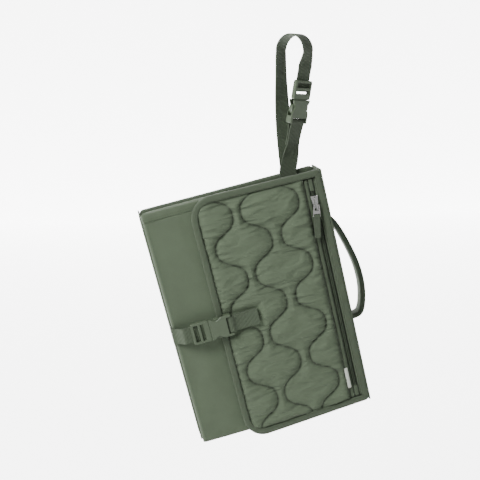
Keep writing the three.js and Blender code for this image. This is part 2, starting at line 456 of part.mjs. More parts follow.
add(hang, 'hang_buckle_female', femaleHalf(false), 'plastic');
add(hang, 'hang_buckle_male', maleHalf(), 'plastic');
const inHang = (y, z) => ({ p: new THREE.Vector3(0, y, z).applyMatrix4(hang.matrix), w: wide.clone() });
const smooth = (stations, n) => {
  const path = new THREE.CatmullRomCurve3(stations.map(s => s.p), false, 'centripetal');
  const turns = new THREE.CatmullRomCurve3(stations.map(s => s.w), false, 'centripetal');
  return Array.from({ length: n + 1 }, (_, i) => ({ p: path.getPoint(i / n), w: turns.getPoint(i / n).normalize() }));
};
// lower leg: from the foot up, through the end bar and back down to its stitching
const risen = (from, k, turnBy) => ({ p: from.clone().lerp(inHang(-LEG, -26).p, k), w: acrossPlan(turnBy) });
add(strap, 'hang_leg', band(smooth([risen(footFront, 0, 0), risen(footFront, 0.35, 0.12 * buckleTurn), risen(footFront, 0.7, 0.6 * buckleTurn), inHang(-LEG, -26),
  inHang(-LEG - 0.5, -9), inHang(-2.4, -1.5), inHang(-2.95, 1.6), inHang(-2.0, 4.1), inHang(0, 4.75), inHang(2.0, 4.1), inHang(2.95, 1.6),
  inHang(2.4, -1.5), inHang(LEG + 0.4, -9), inHang(LEG + 0.2, -16), inHang(LEG + 0.2, -27)], 70), WEB_T - 0.2, WEB_W), 'webbing');
const overBar = [];
for (let i = 0; i <= 12; i++) overBar.push({ p: onBar(-(Math.PI / 2 - tangent) + (2 * Math.PI - 2 * tangent) * i / 12), w: acrossPlan(beta) });
const backTop = overBar[overBar.length - 1].p;
const falling = k => ({ p: backTop.clone().lerp(footBack, k).addScaledVector(e, -BACK_SLACK * Math.sin(Math.PI * k)), w: acrossPlan(beta * (1 - k * k * (3 - 2 * k))) });
add(strap, 'hang_loop', band(smooth([...[0, 6, 12, 18, RELEASE + 8, RELEASE + 14].map(d => inHang(WEB_Y, WEB_END + d)), ...overBar,
  ...[0.2, 0.4, 0.6, 0.8, 0.92, 1].map(falling)], 110), WEB_T, WEB_W), 'webbing');

export default root;
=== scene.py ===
# %% [markdown]
# # A folding changing pad, closed as a clutch
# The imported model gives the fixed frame: where every piece sits and which body it moves with.
# The pad leans, so soft pieces are worked out flat, in the pad's own axes (x across, y through
# with the front at -y, z along its height), and one matrix then lays them into the frame.

# %% Load the frame and find the pad's own axes
import json
import math
import bpy
from mathutils import Matrix, Vector, noise


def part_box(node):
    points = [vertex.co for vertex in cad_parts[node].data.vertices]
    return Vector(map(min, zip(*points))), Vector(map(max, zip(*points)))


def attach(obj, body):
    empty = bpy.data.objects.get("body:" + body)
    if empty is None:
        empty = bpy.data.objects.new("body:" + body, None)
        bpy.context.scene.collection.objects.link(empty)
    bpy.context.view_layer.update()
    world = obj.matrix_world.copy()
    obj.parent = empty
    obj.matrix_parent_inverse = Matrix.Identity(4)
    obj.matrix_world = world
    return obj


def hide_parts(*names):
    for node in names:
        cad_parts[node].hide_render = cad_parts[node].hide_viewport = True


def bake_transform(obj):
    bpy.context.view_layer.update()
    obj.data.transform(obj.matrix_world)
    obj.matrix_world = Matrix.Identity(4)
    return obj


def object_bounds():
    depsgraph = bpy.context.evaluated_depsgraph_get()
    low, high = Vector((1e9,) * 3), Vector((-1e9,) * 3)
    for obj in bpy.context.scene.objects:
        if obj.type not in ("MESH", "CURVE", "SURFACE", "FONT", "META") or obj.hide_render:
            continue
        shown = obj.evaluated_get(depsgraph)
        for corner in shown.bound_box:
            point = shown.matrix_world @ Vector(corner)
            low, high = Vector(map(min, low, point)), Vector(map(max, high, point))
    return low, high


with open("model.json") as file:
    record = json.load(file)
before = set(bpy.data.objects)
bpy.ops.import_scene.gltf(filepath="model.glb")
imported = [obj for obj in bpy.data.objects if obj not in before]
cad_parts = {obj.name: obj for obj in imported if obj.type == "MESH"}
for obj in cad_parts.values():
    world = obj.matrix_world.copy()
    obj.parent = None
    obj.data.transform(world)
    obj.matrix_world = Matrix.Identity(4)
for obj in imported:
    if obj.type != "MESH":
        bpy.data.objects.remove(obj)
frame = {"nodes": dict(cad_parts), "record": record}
cad_box = [list(c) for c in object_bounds()]
joints = {j["name"]: j for j in frame["record"]["behaviour"]["joints"]}

MM = 0.001
across = Vector(joints["pad_swing"]["axis"]).normalized()
upward = Vector(joints["flap_open"]["axis"]).normalized()
through = upward.cross(across).normalized()
HALF_W, HALF_H = 110.0, 152.5          # closed pad, millimetres
ANCHOR = Vector((78.0, 10.8, 154.0))   # the swing's axis crosses the pad's own frame here
turn = Matrix((across, through, upward)).transposed()
swing = Vector(joints["pad_swing"]["pos_m"])
origin = swing - turn @ (ANCHOR * MM)
PAD = Matrix.Translation(origin) @ turn.to_4x4()
LEAN = math.atan2(across.z, across.x)
print("pad leans", round(math.degrees(LEAN), 2), "degrees, its middle is at",
    [round(c, 4) for c in origin])

# %% [markdown]
# Depths of the sewn layers, from the back face forward, as they are in the solid model.

# %% Depths and places shared by the soft pieces
BACK_Y, LINING_Y = (15.5, 22.5), (13.2, 15.2)
LEAF1_Y, LEAF2B_Y, LEAF2F_Y = ((3.5, 9.5), (-2.8, 3.2)), (-11.6, -6.6), (-16.9, -11.9)
QUILT_Y = (-23.7, -19.2)
FLAP_X = -53.0
SPINE_EDGE = 110.0
BIND = 8.0
ZIP_X = 97.0
QUILT_RIGHT = 87.9
QUILT_PERIOD, QUILT_SWING = 78.0, 15.0
SEAMS = (-19.0, 21.0, 63.0)             # seam centres across the pad
STRAP_Z = -3.0
STUB_END = -2.0                        # where the strap's stub ends on the flap
GREEN = (0.101, 0.136, 0.083)
FINE = 1.0  # grid step of the fine fabric, millimetres
flap_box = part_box("flap_binding")
print("flap binding spans", [round(c, 3) for c in flap_box[0]], [round(c, 3) for c in flap_box[1]])

# %% [markdown]
# ## Shader maths as expressions
# A node tree is easier to read as a formula. This class wraps a socket, and its operators add
# the Math nodes, so `1 - mask * 0.5` builds three nodes.

# %% A socket that can be used in a formula
class Socket:
    def __init__(self, tree, socket):
        self.tree, self.socket = tree, socket

    def node(self, kind, settings=None, **inputs):
        return make_node(self.tree, kind, settings, **inputs)

    def _math(self, op, a, b=None):
        return make_node(self.tree, "ShaderNodeMath", {"operation": op},
            **({"0": a} if b is None else {"0": a, "1": b}))[0]

    def __add__(self, o): return self._math("ADD", self, o)
    def __radd__(self, o): return self._math("ADD", o, self)
    def __sub__(self, o): return self._math("SUBTRACT", self, o)
    def __rsub__(self, o): return self._math("SUBTRACT", o, self)
    def __mul__(self, o): return self._math("MULTIPLY", self, o)
    def __rmul__(self, o): return self._math("MULTIPLY", o, self)
    def __truediv__(self, o): return self._math("DIVIDE", self, o)
    def __pow__(self, o): return self._math("POWER", self, o)
    def sin(self): return self._math("SINE", self)
    def absolute(self): return self._math("ABSOLUTE", self)
    def over(self, o): return self._math("GREATER_THAN", self, o)
    def smallest(self, o): return self._math("MINIMUM", self, o)


def make_node(tree, kind, settings=None, **inputs):
    """Adds a node, sets what it is first, then links or fills its inputs; gives its outputs."""
    node = tree.nodes.new(kind)
    for key, value in (settings or {}).items():
        if key == "stops":
            ramp = node.color_ramp
            while len(ramp.elements) < len(value):
                ramp.elements.new(0.5)
            for element, (place, colour) in zip(ramp.elements, value):
                element.position, element.color = place, colour
        else:
            setattr(node, key, value)
    for key, value in inputs.items():
        socket = node.inputs[int(key) if key.isdigit() else key.replace("_", " ")]
        if isinstance(value, Socket):
            tree.links.new(value.socket, socket)
        else:
            socket.default_value = value
    return [Socket(tree, out) for out in node.outputs]


def new_material(name, roughness=0.85, metallic=0.0, **constants):
    """A Principled material and a function that feeds its changing inputs."""
    material = bpy.data.materials.new(name)
    material.use_nodes = True
    tree = material.node_tree
    shader = tree.nodes["Principled BSDF"]
    shader.inputs["Roughness"].default_value = roughness
    shader.inputs["Metallic"].default_value = metallic
    for key, value in constants.items():
        shader.inputs[key.replace("_", " ")].default_value = value

    def feed(key, socket):
        tree.links.new(socket.socket, shader.inputs[key])
    return material, tree, feed


def pad_coordinates(tree, turn_back=LEAN, scale=1000.0):
    """Object coordinates turned into the pad's own axes, in millimetres, as three sockets."""
    place = make_node(tree, "ShaderNodeTexCoord")[3]
    mapped = make_node(tree, "ShaderNodeMapping", {"vector_type": "POINT"}, Vector=place,
                       Rotation=(0.0, turn_back, 0.0), Scale=(scale, scale, scale))[0]
    xyz = make_node(tree, "ShaderNodeSeparateXYZ", None, Vector=mapped)
    return mapped, xyz[0], xyz[1], xyz[2]


def bump(tree, height, distance, strength=1.0, under=None):
    inputs = {"Height": height, "Distance": distance, "Strength": strength}
    if under is not None:
        inputs["Normal"] = under
    return make_node(tree, "ShaderNodeBump", None, **inputs)[0]


def tint(tree, factor, low, high):
    """A colour between two greens by a factor."""
    return make_node(tree, "ShaderNodeMix", {"data_type": "RGBA"}, **{"0": factor, "6": (*low, 1),
        "7": (*high, 1)})[2]


def shade(colour, k):
    return tuple(min(c * k, 1.0) for c in colour)


print("shader helpers ready; base green", GREEN)

# %% [markdown]
# ## Finishes
# Shell and quilt are a tight plain weave: two crossed sine ripples make the threads, and slow
# noise gives the uneven tone of a washed cloth. The other finishes reuse the same idea at their
# own scale: tape has ribs, webbing has thick yarns, moulded plastic has only a fine grain.

# %% Woven cloth
def woven(name, colour, thread=0.55, depth=0.00006, mottling=0.10, roughness=0.86, crease=0.0,
        drag=(1.0, 1.0, 1.0), seam_shade_painted=False):
    material, tree, feed = new_material(name, roughness, Sheen_Weight=0.08, Sheen_Roughness=0.5)
    mapped, x, y, z = pad_coordinates(tree)
    k = 2 * math.pi / thread
    warp, weft = (x * k).sin(), ((z + y) * k).sin()
    threads = warp * weft
    slow = make_node(tree, "ShaderNodeTexNoise", None, Vector=mapped, Scale=0.035, Detail=4.0,
        Roughness=0.6)[0]
    fine = make_node(tree, "ShaderNodeTexNoise", None, Vector=mapped, Scale=0.9, Detail=3.0)[0]
    tone = slow * 0.65 + fine * 0.35 + threads * 0.05
    cloth = tint(tree, tone, shade(colour, 1 - 2.2 * mottling), shade(colour, 1 + 2.2 * mottling))
    # painted shade: the quilt's seam valleys and its rim take a darker colour, read from a point
    # attribute
    if seam_shade_painted:
        painted_shade_amount = make_node(tree, "ShaderNodeAttribute", {"attribute_name": "valley"})[2]
        cloth = make_node(tree, "ShaderNodeMix", {"data_type": "RGBA"}, **{"0": painted_shade_amount, "6": cloth,
            "7": (*shade(colour, 0.38), 1)})[2]
    feed("Base Color", cloth)
    feed("Roughness", roughness - 0.08 + slow * 0.16)
    height = threads * 0.5 + fine * 0.9
    normal = bump(tree, height, depth)
    if crease:
        pulled = make_node(tree, "ShaderNodeMapping", {"vector_type": "POINT"}, Vector=mapped,
            Rotation=(0.0, 0.35, 0.0), Scale=drag)[0]
        folds = make_node(tree, "ShaderNodeTexNoise", None, Vector=pulled, Scale=0.03, Detail=1.5,
            Distortion=0.9)[0]
        normal = bump(tree, folds, crease, 1.0, normal)
    feed("Normal", normal)
    return material


shell_cloth = woven("shell cloth", shade(GREEN, 0.95), crease=0.003, drag=(0.6, 1.0, 0.25))
# the quilt cloth carries painted shade in its seam valleys and along its rim
quilt_cloth = woven("quilt cloth", shade(GREEN, 1.04), thread=0.5, mottling=0.08, crease=0.006,
    drag=(0.9, 1.0, 2.4), seam_shade_painted=True)
print("woven:", shell_cloth.name, quilt_cloth.name)

# %% Edge tape and webbing
def ribbed(name, colour, pitch, along, depth, roughness=0.88):
    """Ribs that run across one of the pad's axes: 0 is x, 1 is z, 2 is a crossed yarn of both."""
    material, tree, feed = new_material(name, roughness, Sheen_Weight=0.06, Sheen_Roughness=0.6)
    mapped, x, y, z = pad_coordinates(tree)
    k = 2 * math.pi / pitch
    rib = [(x * k).sin(), (z * k).sin(), (x * k).sin() * (z * k).sin()][along]
    fine = make_node(tree, "ShaderNodeTexNoise", None, Vector=mapped, Scale=1.2, Detail=3.0)[0]
    slow = make_node(tree, "ShaderNodeTexNoise", None, Vector=mapped, Scale=0.05, Detail=2.0)[0]
    tone = rib * 0.18 + fine * 0.4 + slow * 0.4
    feed("Base Color", tint(tree, tone, shade(colour, 0.72), shade(colour, 1.25)))
    feed("Roughness", roughness - 0.06 + fine * 0.12)
    feed("Normal", bump(tree, rib + fine * 0.7, depth))
    return material


tape_cloth = ribbed("edge tape", shade(GREEN, 0.84), 1.3, 2, 0.00018)
webbing_cloth = ribbed("webbing", shade(GREEN, 0.80), 1.5, 2, 0.0003)
strap_cloth = ribbed("hanging webbing", shade(GREEN, 0.72), 1.6, 1, 0.0003)
side_cloth = ribbed("side webbing", shade(GREEN, 0.92), 1.6, 0, 0.0003)
handle_cloth = ribbed("handle cloth", shade(GREEN, 0.66), 1.3, 2, 0.00018)
print("ribbed finishes ready")

# %% Moulded plastic, metal, coil, lining, netting, label and thread
def grained(name, colour, roughness, grain, metallic=0.0, spread=0.12, **constants):
    material, tree, feed = new_material(name, roughness, metallic, **constants)
    mapped, x, y, z = pad_coordinates(tree)
    fine = make_node(tree, "ShaderNodeTexNoise", None, Vector=mapped, Scale=2.4, Detail=4.0)[0]
    slow = make_node(tree, "ShaderNodeTexNoise", None, Vector=mapped, Scale=0.12, Detail=3.0)[0]
    feed("Base Color", tint(tree, slow * 0.6 + fine * 0.4, shade(colour, 1 - spread), shade(colour,
        1 + spread)))
    feed("Roughness", roughness - 0.07 + slow * 0.14)
    feed("Normal", bump(tree, fine, grain))
    return material


plastic = grained("moulded buckle", shade(GREEN, 0.86), 0.46, 0.00004)
silver = grained("satin metal", (0.72, 0.72, 0.70), 0.26, 0.00002, metallic=1.0, spread=0.05)
coil_plastic = grained("zip coil", shade(GREEN, 0.5), 0.5, 0.00003)
label_cloth = grained("blank label", (0.62, 0.66, 0.58), 0.8, 0.00008)
thread_green = grained("sewing thread", shade(GREEN, 0.62), 0.7, 0.00003)
lining_sheet = grained("wipeable lining", shade(GREEN, 1.35), 0.55, 0.0001, spread=0.06)


def netting(name, colour, hole=1.9):
    material, tree, feed = new_material(name, 0.8)
    mapped, x, y, z = pad_coordinates(tree)
    k = math.pi / hole
    strands = ((x + z) * k).sin().absolute().smallest(((x - z) * k).sin().absolute())
    feed("Alpha", 1 - strands.over(0.42) * 0.9)
    feed("Base Color", tint(tree, strands, shade(colour, 1.1), shade(colour, 0.7)))
    return material


mesh_net = netting("pocket netting", shade(GREEN, 0.5))
print("plain finishes ready")

# %% [markdown]
# ## Padded slabs
# Every layer is one closed form: rows of points run across an outline with rounded corners, the
# front and back share their rim, and the edge rolls over in a quarter ellipse. A relief function
# then lifts or presses the face, which is how the quilting and the sag are made.

# %% Build a padded slab in the pad's own axes
import numpy as np


def rows_with_corners(z0, z1, step, radii):
    """Heights of the rows, closer together where a corner turns."""
    edge = max(radii)
    marks = {round(z0, 4), round(z1, 4)}
    n = max(int((z1 - z0) / step), 2)
    marks |= {round(z0 + (z1 - z0) * i / n, 4) for i in range(n + 1)}
    if edge > 0.5:
        for i in range(1, 9):
            d = edge * (1 - math.cos(i / 8 * math.pi / 2))
            marks |= {round(z0 + d, 4), round(z1 - d, 4)}
    kept = []
    for z in sorted(marks):
        if not kept or z - kept[-1] > 0.15:
            kept.append(z)
    kept[-1] = z1
    return kept


def outline_limits(z, x0, x1, z0, z1, radii):
    low_left, low_right, up_right, up_left = radii
    def bite(r_low, r_up):
        if r_low and z < z0 + r_low:
            return r_low - math.sqrt(max(r_low ** 2 - (z0 + r_low - z) ** 2, 0))
        if r_up and z > z1 - r_up:
            return r_up - math.sqrt(max(r_up ** 2 - (z - z1 + r_up) ** 2, 0))
        return 0.0
    return x0 + bite(low_left, up_left), x1 - bite(low_right, up_right)


def slab(name, x, y, z, radii=(3, 3, 3, 3), edge=2.0, step=4.0, front=None, rear=None,
        material=shell_cloth, flared=False, valley=None):
    """x, y, z are (low, high) in pad millimetres; front(x, z) and rear(x, z) push a face outwards."""
    x0, x1 = x
    y0, y1 = y
    z0, z1 = z
    rows = rows_with_corners(z0, z1, step, radii)
    nx = max(int((x1 - x0) / step), 3)
    middle, half = (y0 + y1) / 2, (y1 - y0) / 2
    points, faces = [], []
    grid = {0: [], 1: []}
    for side in (0, 1):
        for j, zz in enumerate(rows):
            left, right = outline_limits(zz, x0, x1, z0, z1, radii)
            if right - left < 0.6:
                left, right = (left + right) / 2 - 0.3, (left + right) / 2 + 0.3
            row = []
            for i in range(nx + 1):
                t = i / nx
                xx = left + (right - left) * (t if nx < 8 else (0.5 -
                    0.5 * math.cos(math.pi * t)) * 0.15 + t * 0.85)
                rim = i in (0, nx) or j in (0, len(rows) - 1)
                if rim and side == 1:
                    row.append(grid[0][j][i])
                    continue
                d = min(xx - left, right - xx, zz - z0, z1 - zz)
                curve = 1.0 if d >= edge else math.sqrt(max(1 - (1 - d / edge) ** 2, 0))
                lift = 0.0
                if side == 0 and front:
                    lift = front(xx, zz) * curve
                if side == 1 and rear:
                    lift = rear(xx, zz) * curve
                offset = 0.0 if rim else half * (0.25 + 0.75 * curve) + lift
                points.append((xx, middle - offset if side == 0 else middle + offset, zz))
                row.append(len(points) - 1)
            grid[side].append(row)
    for side in (0, 1):
        for j in range(len(rows) - 1):
            for i in range(nx):
                a, b = grid[side][j][i], grid[side][j][i + 1]
                c, d = grid[side][j + 1][i + 1], grid[side][j + 1][i]
                faces.append((a, b, c, d) if side == 0 else (a, d, c, b))
    return to_object(name, points, faces, material, flared=flared, valley=valley)


FLAP_W, FLARE_DOWN, FLARE_UP = 163.0, 9.0, 3.0


def flare(x, z):
    """The flap is cut flared: its free edge runs further up and down than its spine."""
    return z + (SPINE_EDGE - x) / FLAP_W * z / HALF_H * (FLARE_DOWN if z < 0 else FLARE_UP)


def to_object(name, points, faces, material, smooth=True, local=True, flared=False, valley=None):
    """A mesh object at the origin, its points laid from pad millimetres into the frame."""
    mesh = bpy.data.meshes.new(name)
    # painted shade values, when given, are kept on each point for the material to darken by
    painted_shade_amount = [valley(x, z) for x, y, z in points] if valley else None
    if flared:
        points = [(x, y, flare(x, z)) for x, y, z in points]
    placed = [tuple(PAD @ (Vector(p) * MM)) for p in points] if local else [tuple(p) for p in points]
    mesh.from_pydata(placed, [], faces)
    mesh.update()
    if painted_shade_amount:
        mesh.attributes.new("valley", "FLOAT", "POINT").data.foreach_set("value", painted_shade_amount)
    mesh.polygons.foreach_set("use_smooth", [smooth] * len(mesh.polygons))
    obj = bpy.data.objects.new(name, mesh)
    bpy.context.scene.collection.objects.link(obj)
    mesh.materials.append(material)
    return obj


def wave(x, z, seed, size, height):
    """Slow unevenness, the same on every run."""
    return height * noise.noise(Vector((x / size, z / size, seed * 7.3)))


print("slab builder ready")

# %% [markdown]
# ## The quilted flap
# Batting puffs up between three wavy seams. The outer two seams swing together and the middle one
# swings against them, so the flap fills with rounded lobes. The height at a point comes from its
# distance to the nearest seam, and small creases run out of each seam where the thread gathers it.

# %% Seam lines and quilt relief
def seam_x(k, z):
    c = math.cos(2 * math.pi * (z - 124.0) / QUILT_PERIOD)
    return SEAMS[k] + (-1 if k % 2 else 1) * QUILT_SWING * math.tanh(1.35 * c) / math.tanh(1.35)


seam_samples = [np.array([(seam_x(k, z), z) for z in np.arange(-150, 150.1, 0.8)]) for k in range(3)]


def seam_distance(x, z):
    best = 1e9
    for line in seam_samples:
        j = int((z + 150) / 0.8)
        near = line[max(j - 22, 0): j + 23]
        best = min(best, float(np.min((near[:, 0] - x) ** 2 + (near[:, 1] - z) ** 2)))
    return math.sqrt(best)


def quilt_painted_shade(x, z):
    """Painted shade, 0 to 1: how dark a point is coloured in a seam's valley and along the quilt's rim,
    where shade falls.
    """
    d = seam_distance(x, z)
    rim = min(x - QUILT_X[0], QUILT_X[1] - x, QUILT_Z - abs(z))
    return max(0.75 * math.exp(-(d / 1.0) ** 2) + 0.22 * math.exp(-d / 4), 0.4 * math.exp(-max(rim - 1,
        0) / 2.5))


QUILT_X = (FLAP_X + BIND - 1.5, QUILT_RIGHT + 0.3)
QUILT_Z = HALF_H - BIND + 1.5


def quilt_height(x, z):
    d = seam_distance(x, z)
    rim = min(x - QUILT_X[0], QUILT_X[1] - x, QUILT_Z - abs(z))
    puff = 5.0 * (1 - math.exp(-d / 6.5)) * (1 - math.exp(-max(rim - 1.5, 0) / 4.0))
    pull = noise.noise(Vector((x / 20, z / 3.2 + x / 40, 2.0))) * math.exp(-d / 11) * 2.4
    pull += noise.noise(Vector((x / 22, z / 5.0, 9.0))) * math.exp(-max(rim, 0) / 12) * 3.0
    groove = -1.0 * math.exp(-(d / 1.2) ** 2) - 0.8 * math.exp(-(max(rim - 1.2, 0) / 1.3) ** 2)
    sway = 1.5 * noise.noise(Vector((x / 34, z / 30, 5.0)))
    beside = min(max((abs(z - STRAP_Z) - 11) / 8, 0), 1)
    beyond = min(max((x - STUB_END) / 8, 0), 1)
    strap = 0.05 + 0.95 * max(beside, beyond)      # the strap's stub presses the batting flat
    return (puff + pull + sway * min(d / 6, 1) * 0.6) * strap + groove


quilt = slab("quilt_panel", QUILT_X, (QUILT_Y[0] + 0.3, QUILT_Y[1] - 0.1), (-QUILT_Z, QUILT_Z),
    radii=(20.5, 1, 1, 20.5),
             edge=1.2, step=1.25 * FINE, front=quilt_height,
              material=quilt_cloth, flared=True, valley=quilt_painted_shade)
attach(quilt, "front_flap")
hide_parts("flap_quilt")
print("quilt faces", len(quilt.data.polygons))

# %% [markdown]
# ## Edge tape and rolled hems
# Edge tape is a flat strip folded over the rim. It is swept: a rounded section follows a closed
# The same sweep makes the carry handle and the folds' rolled edges.

# %% Sweep a section along a path
def sweep(name, path, section, material, closed=False, side=Vector((0, 1, 0)), body=None, flared=False):
    """Carries a section along a path in pad millimetres.

    A section is (out, side) pairs: out lies across the path, side along the given direction."""
    n, points, faces = len(path), [], []
    for i, p in enumerate(path):
        a = path[(i - 1) % n] if closed or i > 0 else path[i]
        b = path[(i + 1) % n] if closed or i < n - 1 else path[i]
        tangent = (Vector(b) - Vector(a)).normalized()
        out = tangent.cross(side).normalized()
        for u, v in section:
            points.append(tuple(Vector(p) + out * u + side * v))
    m = len(section)
    for i in range(n if closed else n - 1):
        j = (i + 1) % n
        for k in range(m):
            l = (k + 1) % m
            faces.append((i * m + k, j * m + k, j * m + l, i * m + l))
    if not closed:
        faces.append(tuple(range(m)))
        faces.append(tuple(reversed(range((n - 1) * m, n * m))))
    obj = to_object(name, points, faces, material, flared=flared)
    import bmesh
    bm = bmesh.new()
    bm.from_mesh(obj.data)
    bmesh.ops.recalc_face_normals(bm, faces=bm.faces)
    bm.to_mesh(obj.data)
    bm.free()
    if body:
        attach(obj, body)
    return obj


def rounded_section(half_out, half_side, corner, steps=4):
    pts = []
    for cx, cy, a0 in ((1, 1, 0), (-1, 1, 90), (-1, -1, 180), (1, -1, 270)):
        for i in range(steps + 1):
            a = math.radians(a0 + 90 * i / steps)
            pts.append((cx * (half_out - corner) + corner * math.cos(a), cy * (half_side -
                corner) + corner * math.sin(a)))
    return pts


def rounded_outline(x0, x1, z0, z1, radii, spacing=4.0):
    """A closed path round a panel, counter-clockwise seen from the front."""
    low_left, low_right, up_right, up_left = radii
    path = []
    def arc(cx, cz, r, a0):
        n = max(int(r * 1.6 / 2.0), 3)
        for i in range(n + 1):
            a = math.radians(a0 + 90 * i / n)
            path.append((cx + r * math.cos(a), cz + r * math.sin(a)))
    arc(x1 - low_right, z0 + low_right, low_right, 270)
    arc(x1 - up_right, z1 - up_right, up_right, 0)
    arc(x0 + up_left, z1 - up_left, up_left, 90)
    arc(x0 + low_left, z0 + low_left, low_left, 180)
    full = []
    for i, p in enumerate(path):
        q = path[(i + 1) % len(path)]
        d = math.hypot(q[0] - p[0], q[1] - p[1])
        n = max(int(d / spacing), 1)
        full += [(p[0] + (q[0] - p[0]) * t / n, p[1] + (q[1] - p[1]) * t / n) for t in range(n)]
    return full


def tape_round(name, x, z, y, radii, width, material, body, unevenness=0.35, seed=1.0, flared=False):
    """Edge tape folded over a panel's rim; y is (front, back)."""
    middle = (y[0] + y[1]) / 2
    inset = width / 2
    rim = rounded_outline(x[0] + inset, x[1] - inset, z[0] + inset, z[1] - inset, [max(r - inset,
        0.8) for r in radii])
    path = [(px, middle + wave(px, pz, seed, 16, unevenness), pz) for px, pz in rim]
    return sweep(name, path, rounded_section(width / 2, (y[1] - y[0]) / 2, min((y[1] - y[0]) / 2 - 0.05,
        2.2)), material, closed=True, body=body, flared=flared)


flap_tape = tape_round("flap_edge_tape", (FLAP_X - 0.4, SPINE_EDGE + 0.6), (-HALF_H - 0.4, HALF_H + 0.4),
    (QUILT_Y[0] - 1.5, -17.7), (28, 3, 3, 28), BIND, tape_cloth, "front_flap", flared=True)
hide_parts("flap_binding")
back_tape = tape_round("back_edge_tape", (-HALF_W - 0.3, HALF_W + 0.3), (-HALF_H - 0.3, HALF_H + 0.3),
    (LINING_Y[0], BACK_Y[1] + 0.3), (4, 4, 4, 4), BIND, tape_cloth, "pad_back", seed=2.0)
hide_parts("back_binding")
print("edge tapes", len(flap_tape.data.polygons), len(back_tape.data.polygons))

# %% [markdown]
# ## Plain panels and mat folds
# The plain panel beside the flap is one cloth over thin wadding. It hangs from its hem, so it
# bellies a little and carries long shallow creases. The leaves behind it are plump at the rim.

# %% The visible plain panel, its hem, and the leaves behind it
def panel_sag(x, z):
    belly = 1.2 * math.sin(math.pi * min(max((x + 110) / 110, 0), 1)) * math.cos(z / 190)
    creases = wave(x, z * 0.35, 3, 22, 1.0) + wave(x, z, 4, 45, 1.4)
    strap = math.exp(-((z - STRAP_Z) / 14) ** 2) * math.exp(-((x + 104) / 20) ** 2) * -1.6
    bottom = wave(x, z, 6, 12, 1.0) * math.exp(-(z + 152) / 18)
    return belly + creases + strap + bottom


panel = slab("plain_panel", (-109.8, 0), LEAF2F_Y, (-151.5, 143.2), radii=(2, 2, 1, 1), edge=2.6,
    step=3 * FINE, front=panel_sag, material=shell_cloth)
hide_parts("mat_leaf_2_outer")
hem = slab("panel_top_hem", (-110.2, 0), (LEAF2F_Y[0] - 0.7, LEAF2F_Y[1]), (141.5, 152.8), radii=(2, 1, 1,
    3), edge=2.2, step=2.5,
           front=lambda x, z: wave(x, z, 8, 14, 0.7), material=shell_cloth)
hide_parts("top_hem")
inner_leaf = slab("leaf_2_lining", (-109.5, 0), LEAF2B_Y, (-150, 151), edge=2.5, step=8, front=lambda x,
    z: wave(x, z, 9, 30, 0.2), material=lining_sheet)
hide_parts("mat_leaf_2_inner")
for piece in (panel, hem, inner_leaf):
    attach(piece, "mat_fold_2")

leaves = []
for name, node, y, look in (("leaf_1_lining", "mat_leaf_1_inner", LEAF1_Y[0], lining_sheet),
        ("leaf_1_shell", "mat_leaf_1_outer", LEAF1_Y[1], shell_cloth)):
    leaf = slab(name, (-109, 0), y, (-150.8, 150.8), edge=3.0, step=6, front=lambda x, z: wave(x, z, 10,
        25, 0.25),
                rear=lambda x, z: wave(x, z, 11, 30, 0.2), material=look)
    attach(leaf, "mat_fold_1")
    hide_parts(node)
    leaves.append(leaf)
print("folds made:", panel.name, hem.name, [l.name for l in leaves])

# %% The back panel, its lining and the head pillow
back = slab("back_shell_cloth", (-103, 103), (BACK_Y[0], BACK_Y[1] - 0.2), (-145.4, 145.4), edge=2.5,
    step=4,
            rear=lambda x, z: 0.9 * math.cos(x / 75) * math.cos(z / 105) + wave(x, z, 12, 30,
                0.7), material=shell_cloth)
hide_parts("back_shell")
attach(back, "pad_back")
back_lining = slab("back_lining_sheet", (-102, 102), LINING_Y, (-144.3, 144.3), edge=0.8, step=6,
    front=lambda x, z: wave(x, z, 13, 30, 0.25), material=lining_sheet)
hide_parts("back_lining")
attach(back_lining, "pad_back")
pillow = slab("head_pillow_cushion", (10, 104), (-17.3, -0.6), (-115, 115), radii=(16, 16, 16, 16),
    edge=16, step=3,
              rear=lambda x, z: 0.9 * math.cos((x - 57) / 32) * math.cos(z / 75) + wave(x, z, 14, 14,
                  0.5), material=lining_sheet)
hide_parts("head_pillow")
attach(pillow, "front_flap")
flap_lining = slab("flap_lining_sheet", (FLAP_X + 4, 109), (-18.7, -17.8), (-148.3, 148.3),
    radii=(24, 2, 2, 24), edge=0.4, step=6, material=lining_sheet, flared=True)
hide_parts("flap_lining")
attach(flap_lining, "front_flap")
print("inside made")

# %% The spine and the folds' edges: rolled cloth over a cord
def fold_edge(name, node, x, y, body, look=tape_cloth, length=HALF_H):
    path = [((x[0] + x[1]) / 2, (y[0] + y[1]) / 2 + wave(0, z, 20, 30, 0.2),
        z) for z in np.linspace(-length, length, 62)]
    half_x, half_y = (x[1] - x[0]) / 2, (y[1] - y[0]) / 2
    obj = sweep(name, path, rounded_section(half_x, half_y, half_x * 0.95, 4), look, side=Vector((0, 1,
        0)), body=body)
    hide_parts(node)
    return obj


SPINE_Y, FOLD1_Y, FOLD2_Y = -0.85, 11.175, -4.7
fold_edge("spine_back_edge", "spine_fixed", (110.3, 112.4), (SPINE_Y + 0.2, 22.6), "pad_back")
fold_edge("spine_flap_edge", "flap_spine", (110.3, 112.4), (-25.0, SPINE_Y - 0.2), "front_flap")
fold_edge("left_edge_back", "left_fold_fixed", (-111.9, -110.2), (FOLD1_Y + 0.2, 22.6), "pad_back",
    shell_cloth)
fold_edge("left_edge_fold", "left_fold", (-111.8, -109.3), (-2.4, FOLD1_Y - 0.2), "mat_fold_1",
    shell_cloth, 151.5)
fold_edge("middle_edge_inner", "middle_fold_inner", (0.3, 1.8), (FOLD2_Y + 0.2, 9.5), "mat_fold_1",
    shell_cloth, 150.5)
fold_edge("middle_edge_outer", "middle_fold_outer", (0.3, 1.8), (-16.9, FOLD2_Y - 0.2), "mat_fold_2",
    shell_cloth, 150.5)
